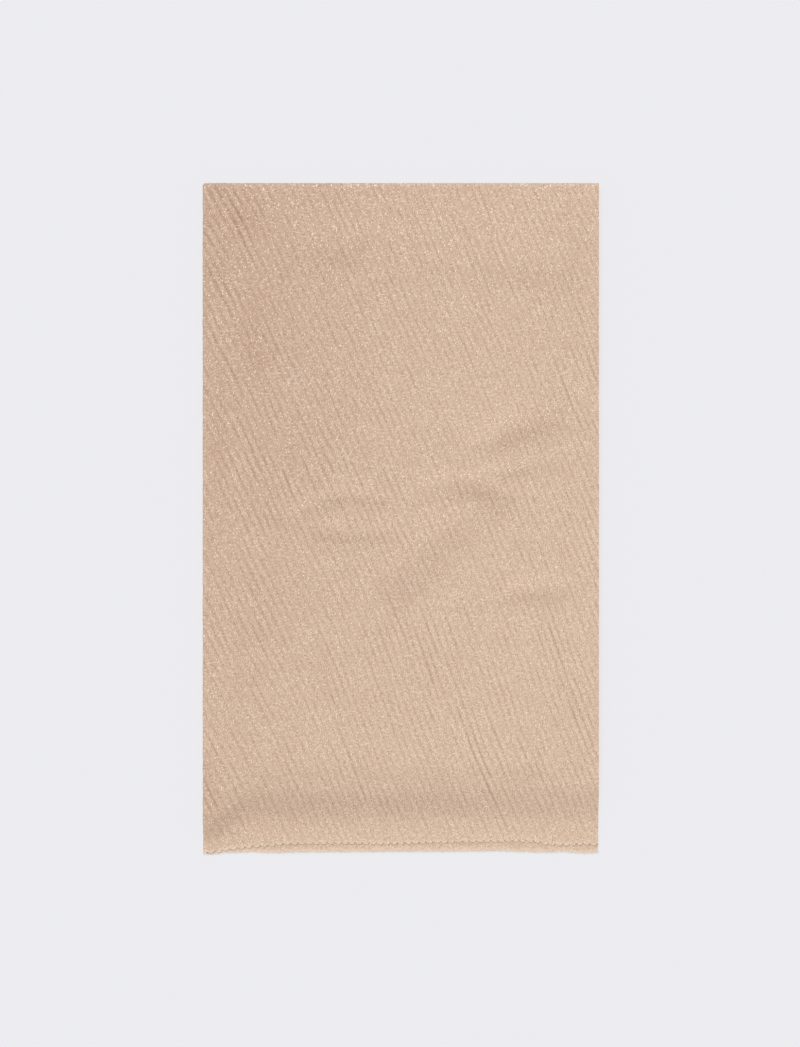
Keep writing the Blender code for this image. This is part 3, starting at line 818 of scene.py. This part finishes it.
def build_hidden_cloth():
    """The cloth's other two panels, doubled across its width as the top one is. Only their edges show."""
    roll = spaced(-ROLL_END, ROLL_END, 2 * ROLL_END / ROLL_PARTS)
    end = SELVEDGE - 2 * HIDDEN_INSET
    near, next_one = HIDDEN_FIRST_COLUMNS
    half = [ROLL_END + near] + spaced(ROLL_END + next_one, end - EDGE_COLUMNS[-1], HIDDEN_COLUMN)
    half += [end - inset for inset in EDGE_COLUMNS[-2::-1]]
    columns = np.array([-a for a in reversed(half)] + roll + half)
    first = TOP_END + SEAM
    surface = Surface()
    for share in spaced(0, 1, ROW_STEP / (TURN_Y - LOW_TURN_Y)):
        surface.plain_row(columns, lambda reach: first + (low_turn_start(reach) - first) * share)
    for turned in spaced(0, TURN_LENGTH, TURN_LENGTH / TURN_PARTS)[1:]:
        surface.plain_row(columns, lambda reach: low_turn_start(reach) + turned)
    for share in spaced(0, 1, ROW_STEP / (PANEL_END - LOW_TURN_Y))[1:-2]:
        def along_of(reach):
            return third_panel(reach, low_turn_y(reach) * (1 - share) + (PANEL_END - END_BAND) * share)

        surface.plain_row(columns, along_of)
    for notched in END_STEPS:
        surface.panel_end_row(columns, notched)
    return cloth_wall("hidden_cloth", surface, hem=-1, sunk=ribs_inside, shift=uneven)


# ---------------------------------------------------------------- stitches


def edging_tree(thread):
    """Thread loops over a cloth's edge, with one thread and a fuzz of fine fibres along it.

    The edge is given as a line that has the cloth on its left. Where the hidden end's line has doubled
    back, under the pile, the cloth is on its right, and the fuzz lies over it.
    """
    tree = bpy.data.node_groups.new("edging", "GeometryNodeTree")
    interface = tree.interface
    interface.new_socket("Geometry", in_out="INPUT", socket_type="NodeSocketGeometry")
    inputs = {}
    for name, value in (
        ("Spacing", STITCH_SPACING),
        ("Reach", STITCH_REACH),
        ("Height", STITCH_HEIGHT),
        ("Inset", STITCH_INSET),
        ("Thread", THREAD_RADIUS),
        ("Unevenness", STITCH_UNEVENNESS),
        ("Fuzz Spacing", FUZZ_SPACING),
        ("Fuzz Length", FUZZ_LENGTH),
        ("Fuzz Radius", FUZZ_RADIUS),
    ):
        socket = interface.new_socket(name, in_out="INPUT", socket_type="NodeSocketFloat")
        socket.default_value = value
        inputs[name] = socket.identifier
    interface.new_socket("Geometry", in_out="OUTPUT", socket_type="NodeSocketGeometry")

    def node(kind, settings=None, sockets=None, output=0):
        """A node's output. Its sockets are given by name or number, each with a value or a link."""
        made = tree.nodes.new(kind)
        for key, value in (settings or {}).items():
            setattr(made, key, value)
        for key, value in (sockets or {}).items():
            for given_value in value if isinstance(value, list) else [value]:
                if isinstance(given_value, bpy.types.NodeSocket):
                    tree.links.new(given_value, made.inputs[key])
                else:
                    made.inputs[key].default_value = given_value
        return made.outputs[output]

    def maths(operation, first, second):
        return node("ShaderNodeMath", {"operation": operation}, {0: first, 1: second})

    def drawn(low, high, seed):
        """A number for each point, between two others."""
        sockets = {2: low, 3: high, "Seed": seed}
        return node("FunctionNodeRandomValue", {"data_type": "FLOAT"}, sockets, 1)

    def points_along(line, spacing):
        return node("GeometryNodeResampleCurve", {"mode": "LENGTH"}, {"Curve": line, "Length": spacing})

    def tube(line, corners, radius):
        section = node("GeometryNodeCurvePrimitiveCircle", sockets={"Resolution": corners, "Radius": radius})
        sockets = {"Curve": line, "Profile Curve": section, "Fill Caps": True}
        return node("GeometryNodeCurveToMesh", sockets=sockets)

    def facing_out():
        """Turns a thing so that its x runs along the edge and its y into the cloth."""
        tangent = node("GeometryNodeInputTangent")
        settings = {"axis": "X", "pivot_axis": "Z"}
        return node("FunctionNodeAlignRotationToVector", settings, {"Vector": tangent})

    given = tree.nodes.new("NodeGroupInput").outputs
    edge = node("GeometryNodeMeshToCurve", sockets={"Mesh": given["Geometry"]})
    line = points_along(edge, given["Spacing"])
    edge_thread = tube(line, EDGE_CORNERS, given["Thread"])

    loop = node("GeometryNodeCurvePrimitiveCircle", sockets={"Resolution": LOOP_POINTS, "Radius": 1.0})
    size = node("ShaderNodeCombineXYZ", sockets={"X": given["Height"], "Y": given["Reach"], "Z": 1.0})
    loop = node("GeometryNodeTransform", sockets={"Geometry": loop, "Scale": size})
    inset = node("ShaderNodeCombineXYZ", sockets={"Y": given["Inset"]})
    turn = (0.0, math.pi / 2, STITCH_SLANT)
    loop = node("GeometryNodeTransform", sockets={"Geometry": loop, "Translation": inset, "Rotation": turn})
    loop = tube(loop, LOOP_CORNERS, given["Thread"])
    smallest, largest = (maths(operation, 1.0, given["Unevenness"]) for operation in ("SUBTRACT", "ADD"))
    scale = drawn(smallest, largest, STITCH_SEED)
    sockets = {"Points": line, "Instance": loop, "Rotation": facing_out(), "Scale": scale}
    stitches = node("GeometryNodeInstanceOnPoints", sockets=sockets)

    hair = node("GeometryNodeCurvePrimitiveLine", sockets={"End": (0.0, -1.0, 0.0)})
    hair = tube(hair, HAIR_CORNERS, given["Fuzz Radius"])
    sockets = {"X": drawn(*HAIR_YAW, YAW_SEED), "Z": drawn(*HAIR_PITCH, PITCH_SEED)}
    spread = node("ShaderNodeCombineXYZ", sockets=sockets)
    turned = node("FunctionNodeRotateRotation", {"rotation_space": "LOCAL"}, {0: facing_out(), 1: spread})
    length = maths("MULTIPLY", given["Fuzz Length"], drawn(*HAIR_SHARE, LENGTH_SEED))
    length = node("ShaderNodeCombineXYZ", sockets={"X": 1.0, "Y": length, "Z": 1.0})
    sockets = {"Points": points_along(edge, given["Fuzz Spacing"]), "Instance": hair}
    sockets.update({"Rotation": turned, "Scale": length})
    fuzz = node("GeometryNodeInstanceOnPoints", sockets=sockets)

    together = node("GeometryNodeJoinGeometry", sockets={0: [edge_thread, stitches, fuzz]})
    real = node("GeometryNodeRealizeInstances", sockets={"Geometry": together})
    finished = node("GeometryNodeSetMaterial", sockets={"Geometry": real, "Material": thread})
    tree.links.new(finished, tree.nodes.new("NodeGroupOutput").inputs[0])
    return tree, inputs


def stitch_edge(name, path, tree, inputs, fuzz_length=FUZZ_LENGTH):
    """The stitches over one hem, along a path through the middle of the cloth's edge."""
    line = bpy.data.meshes.new(name)
    line.from_pydata(path.tolist(), [(i, i + 1) for i in range(len(path) - 1)], [])
    made = bpy.data.objects.new(name, line)
    bpy.context.scene.collection.objects.link(made)
    modifier = made.modifiers.new("edging", "NODES")
    modifier.node_group = tree
    modifier[inputs["Fuzz Length"]] = fuzz_length
    evaluated = made.evaluated_get(bpy.context.evaluated_depsgraph_get())
    data = bpy.data.meshes.new_from_object(evaluated)
    made.modifiers.remove(modifier)
    made.data = data
    data.name = name
    data.shade_smooth()
    for vertex in data.vertices:
        vertex.co.z = max(vertex.co.z, TABLE_CLEAR)
    return made


# ---------------------------------------------------------------- stage


def build_camera():
    data = bpy.data.cameras.new("camera")
    data.lens = LENS
    data.sensor_fit = "HORIZONTAL"
    data.sensor_width = SENSOR
    camera = bpy.data.objects.new("camera", data)
    camera.location = (*FRAME_CENTRE, CLOTH_TOP + FRAME_WIDTH * LENS / SENSOR)
    bpy.context.scene.collection.objects.link(camera)
    bpy.context.scene.camera = camera


def build_floor():
    data = bpy.data.meshes.new("floor")
    corners = [(x * FLOOR_HALF, y * FLOOR_HALF, FLOOR_Z) for x, y in ((-1, -1), (1, -1), (1, 1), (-1, 1))]
    data.from_pydata(corners, [], [(0, 1, 2, 3)])
    floor = bpy.data.objects.new("floor", data)
    bpy.context.scene.collection.objects.link(floor)
    material = bpy.data.materials.new("floor")
    material.use_nodes = True
    shader = material.node_tree.nodes["Principled BSDF"]
    shader.inputs["Base Color"].default_value = (*FLOOR_COLOUR, 1.0)
    shader.inputs["Emission Color"].default_value = (*FLOOR_GLOW, 1.0)
    shader.inputs["Emission Strength"].default_value = 1.0
    shader.inputs["Roughness"].default_value = 0.9
    shader.inputs["Specular IOR Level"].default_value = 0.1
    data.materials.append(material)


def build_lights():
    world = bpy.data.worlds.new("studio")
    world.use_nodes = True
    background = world.node_tree.nodes["Background"]
    background.inputs["Color"].default_value = (1.0, 1.0, 1.0, 1.0)
    background.inputs["Strength"].default_value = SKY_STRENGTH
    bpy.context.scene.world = world
    data = bpy.data.lights.new("window", "SUN")
    data.energy = SUN_STRENGTH
    data.angle = SUN_ANGLE
    sun = bpy.data.objects.new("window", data)
    sun.rotation_euler = (0.0, SUN_TILT, SUN_TURN)
    bpy.context.scene.collection.objects.link(sun)


class Amount:
    """A number in a shader, whose sums add Math nodes."""

    def __init__(self, finish, socket):
        self.finish, self.socket = finish, socket

    def __add__(self, other):
        return self.finish.maths("ADD", self, other)

    def __sub__(self, other):
        return self.finish.maths("SUBTRACT", self, other)

    def __rsub__(self, other):
        return self.finish.maths("SUBTRACT", other, self)

    def __mul__(self, other):
        return self.finish.maths("MULTIPLY", self, other)

    def __truediv__(self, other):
        return self.finish.maths("DIVIDE", self, other)

    __radd__, __rmul__ = __add__, __mul__


class Finish:
    """A material, made of nodes."""

    def __init__(self, name, **constants):
        self.material = bpy.data.materials.new(name)
        self.material.use_nodes = True
        self.tree = self.material.node_tree
        self.shader = self.tree.nodes["Principled BSDF"]
        for socket, value in constants.items():
            self.shader.inputs[socket.replace("_", " ")].default_value = value

    def node(self, kind, settings=None, sockets=None, output=0):
        """A node's output. Its sockets are given by name or number, each with a value or a link."""
        made = self.tree.nodes.new(kind)
        for name, value in (settings or {}).items():
            setattr(made, name, value)
        for key, value in (sockets or {}).items():
            self.plug(value, made.inputs[key])
        return Amount(self, made.outputs[output])

    def plug(self, value, socket):
        if isinstance(value, Amount):
            self.tree.links.new(value.socket, socket)
        else:
            socket.default_value = value

    def maths(self, operation, first, second=0.0):
        return self.node("ShaderNodeMath", {"operation": operation}, {0: first, 1: second})

    def sine(self, turns):
        return self.maths("SINE", turns * (2 * math.pi))

    def within(self, value, low, high):
        """0 below low and 1 above high, or the other way round where low is the greater."""
        sockets = {"Value": value, "From Min": low, "From Max": high}
        return self.node("ShaderNodeMapRange", {"interpolation_type": "SMOOTHSTEP"}, sockets)

    def vector(self, x, y, z=0.0):
        return self.node("ShaderNodeCombineXYZ", sockets={"X": x, "Y": y, "Z": z})

    def parts(self, vector):
        """A vector's x and y."""
        return [self.node("ShaderNodeSeparateXYZ", sockets={"Vector": vector}, output=i) for i in (0, 1)]

    def noise(self, place, detail=2.0):
        """Noise from about -0.5 to 0.5."""
        sockets = {"Vector": place, "Scale": 1.0, "Detail": detail}
        return self.node("ShaderNodeTexNoise", {"noise_dimensions": "2D"}, sockets) - 0.5

    def cells(self, place):
        """Uneven cells: how far a place is from its cell's middle, and two numbers that each cell draws."""
        settings = {"voronoi_dimensions": "2D"}
        sockets = {"Vector": place, "Scale": 1.0, "Randomness": 0.75}
        distance = self.node("ShaderNodeTexVoronoi", settings, sockets, "Distance")
        draws = self.node("ShaderNodeTexVoronoi", settings, sockets, "Color")
        return distance, *self.parts(draws)

    def mixed(self, share, first, second):
        """A colour between two others."""
        settings = {"data_type": "RGBA", "clamp_factor": True}
        return self.node("ShaderNodeMix", settings, {0: share, 6: first, 7: second}, 2)

    def shaded(self, colour, tone):
        """A colour made lighter or darker."""
        settings = {"operation": "SCALE"}
        return self.node("ShaderNodeVectorMath", settings, {0: colour, 3: tone})

    def bump(self, height, depth):
        sockets = {"Height": height, "Distance": depth, "Strength": 1.0}
        return self.node("ShaderNodeBump", sockets=sockets)

    def set(self, socket, value):
        self.plug(value, self.shader.inputs[socket])


def lurex_cloth():
    """Fine beige knit with a glinting thread, with painted shade in its ribs' valleys."""
    finish = Finish("lurex_cloth", Specular_IOR_Level=0.25)
    flat = finish.node("ShaderNodeUVMap", {"uv_map": "cloth"})
    across, along = finish.parts(flat)
    place = finish.node("ShaderNodeTexCoord", output="Object")
    x, y = finish.parts(place)
    valley = finish.node("ShaderNodeAttribute", {"attribute_name": "valley"}, output="Fac")
    # Painted light and shade of the soft patches, and the painted highlight by the hems
    patch_light_and_shade = finish.node("ShaderNodeAttribute", {"attribute_name": "tone"}, output="Fac")

    # The knit's rows, which dip to the right, its mottling and its uneven stitches
    leaning = along + across * KNIT_SLOPE

    def noise_at(scale, detail):
        return finish.noise(finish.vector(across * scale[0], along * scale[1]), detail)

    def cells_at(size):
        return finish.cells(finish.vector(across / size[0], leaning / size[1]))

    rows = finish.sine(leaning / KNIT_ROW + ROW_BEND * noise_at(BEND_SCALE, 2.0))
    mottle = noise_at(MOTTLE_SCALE, 3.0)
    cloud = noise_at(CLOUD_SCALE, 2.0)
    patches = finish.within(noise_at(PATCH_SCALE, 1.0), -0.08, 0.12)
    stitch_edge, stitch_tone, stitch_chance = cells_at(STITCH_CELL)
    grain = finish.noise(finish.vector(across / GRAIN_CELL[0], leaning / GRAIN_CELL[1]), 1.0)

    # Painted shade of the ribs that the plies under it press through, mirrored
    under = along / RIB_RISE - across * RIBS_PER_M_LEFT - across * across * RIB_SPREAD
    pressed_rib_shade = finish.sine(under) * patches

    # Glints of metal thread, painted highlights in the colour over a more metallic, smoother finish, as
    # single stitches and short dashes along the rows, and a few dull stitches
    glints = finish.within(stitch_chance, 0.93, 0.97) * finish.within(stitch_edge, 0.60, 0.25)
    specks = finish.within(stitch_chance, 0.06, 0.03) * finish.within(stitch_edge, 0.65, 0.30)
    dash_edge, _, dash_chance = cells_at(DASH_CELL)
    dashes = finish.within(dash_chance, 0.78, 0.84) * finish.within(dash_edge, 0.45, 0.20)
    dashes = dashes * (DASHES_OUTSIDE + (1 - DASHES_OUTSIDE) * patches)
    glint = finish.maths("MAXIMUM", glints, DASH_GLINT * dashes)

    # Painted shade to the upper left and in the valleys, painted light to the lower right and on the crests,
    # and the soft patches' painted light and shade
    tone = 1.0 + MOTTLE_TONE * mottle + CLOUD_TONE * cloud + GRAIN * grain + STITCH_TONE * (stitch_tone - 0.5)
    tone = tone + ROW_TONE * rows + UNDER_RIB_SHADE * pressed_rib_shade
    corner_shade = finish.within(y * 0.45 - x, CORNER_FROM, CORNER_TO)
    low_light = finish.within(x * 0.9 - y * 0.5, LIGHT_FROM, LIGHT_TO)
    tone = tone * (1.0 - CORNER_SHADE * corner_shade) * (1.0 + LOW_LIGHT * low_light)
    tone = tone * (1.0 - VALLEY_SHADE * valley) * (1.0 + patch_light_and_shade) * (1.0 - SPECK_SHADE * specks)
    base = finish.mixed((tone - DEEP_TONE) / (PALE_TONE - DEEP_TONE), DEEP_COLOUR, PALE_COLOUR)
    finish.set("Base Color", finish.mixed(glint, base, GLINT_COLOUR))
    finish.set("Metallic", 0.08 + 0.30 * glint)
    finish.set("Roughness", 0.62 - 0.20 * glint)
    finish.set("Normal", finish.bump(1.0 - stitch_edge + glint, KNIT_DEPTH))
    return finish.material


def edging_thread():
    """Pale twisted thread."""
    finish = Finish("edging_thread", Roughness=0.75, Specular_IOR_Level=0.3)
    place = finish.node("ShaderNodeTexCoord", output="Object")
    x, y = finish.parts(place)
    twist = finish.sine((x + y * 0.6) / THREAD_TWIST)
    tone = 1.0 + 0.06 * twist + 0.15 * finish.noise(finish.vector(x * 500, y * 500))
    finish.set("Base Color", finish.shaded(THREAD_COLOUR, tone))
    finish.set("Normal", finish.bump(twist, THREAD_TWIST_DEPTH))
    return finish.material


def main():
    build_camera()
    build_floor()
    build_lights()
    cloth = lurex_cloth()
    thread = edging_thread()
    tree, inputs = edging_tree(thread)

    upper, upper_rows = build_upper_cloth()
    lower, lower_rows = build_lower_cloth()
    hidden, hidden_rows = build_hidden_cloth()
    upper_edging = stitch_edge("upper_edging", upper_rows[0], tree, inputs, UPPER_FUZZ_LENGTH)
    lower_edging = stitch_edge("lower_edging", lower_rows[0][::-1], tree, inputs)
    end_edging = stitch_edge("end_edging", hidden_rows[-1][::-1], tree, inputs)

    for piece, node, edging in (
        (upper, "upper_ply", upper_edging),
        (lower, "lower_ply", lower_edging),
        (hidden, "hidden_plies", end_edging),
    ):
        piece.data.materials.append(cloth)
        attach(piece, "root")
        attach(edging, "root")
        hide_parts(node)

    hidden_length = float(third_panel(WIDTH / 2, PANEL_END)) - TOP_END
    bpy.context.scene.view_settings.view_transform = "Standard"
    bpy.context.view_layer.update()


main()
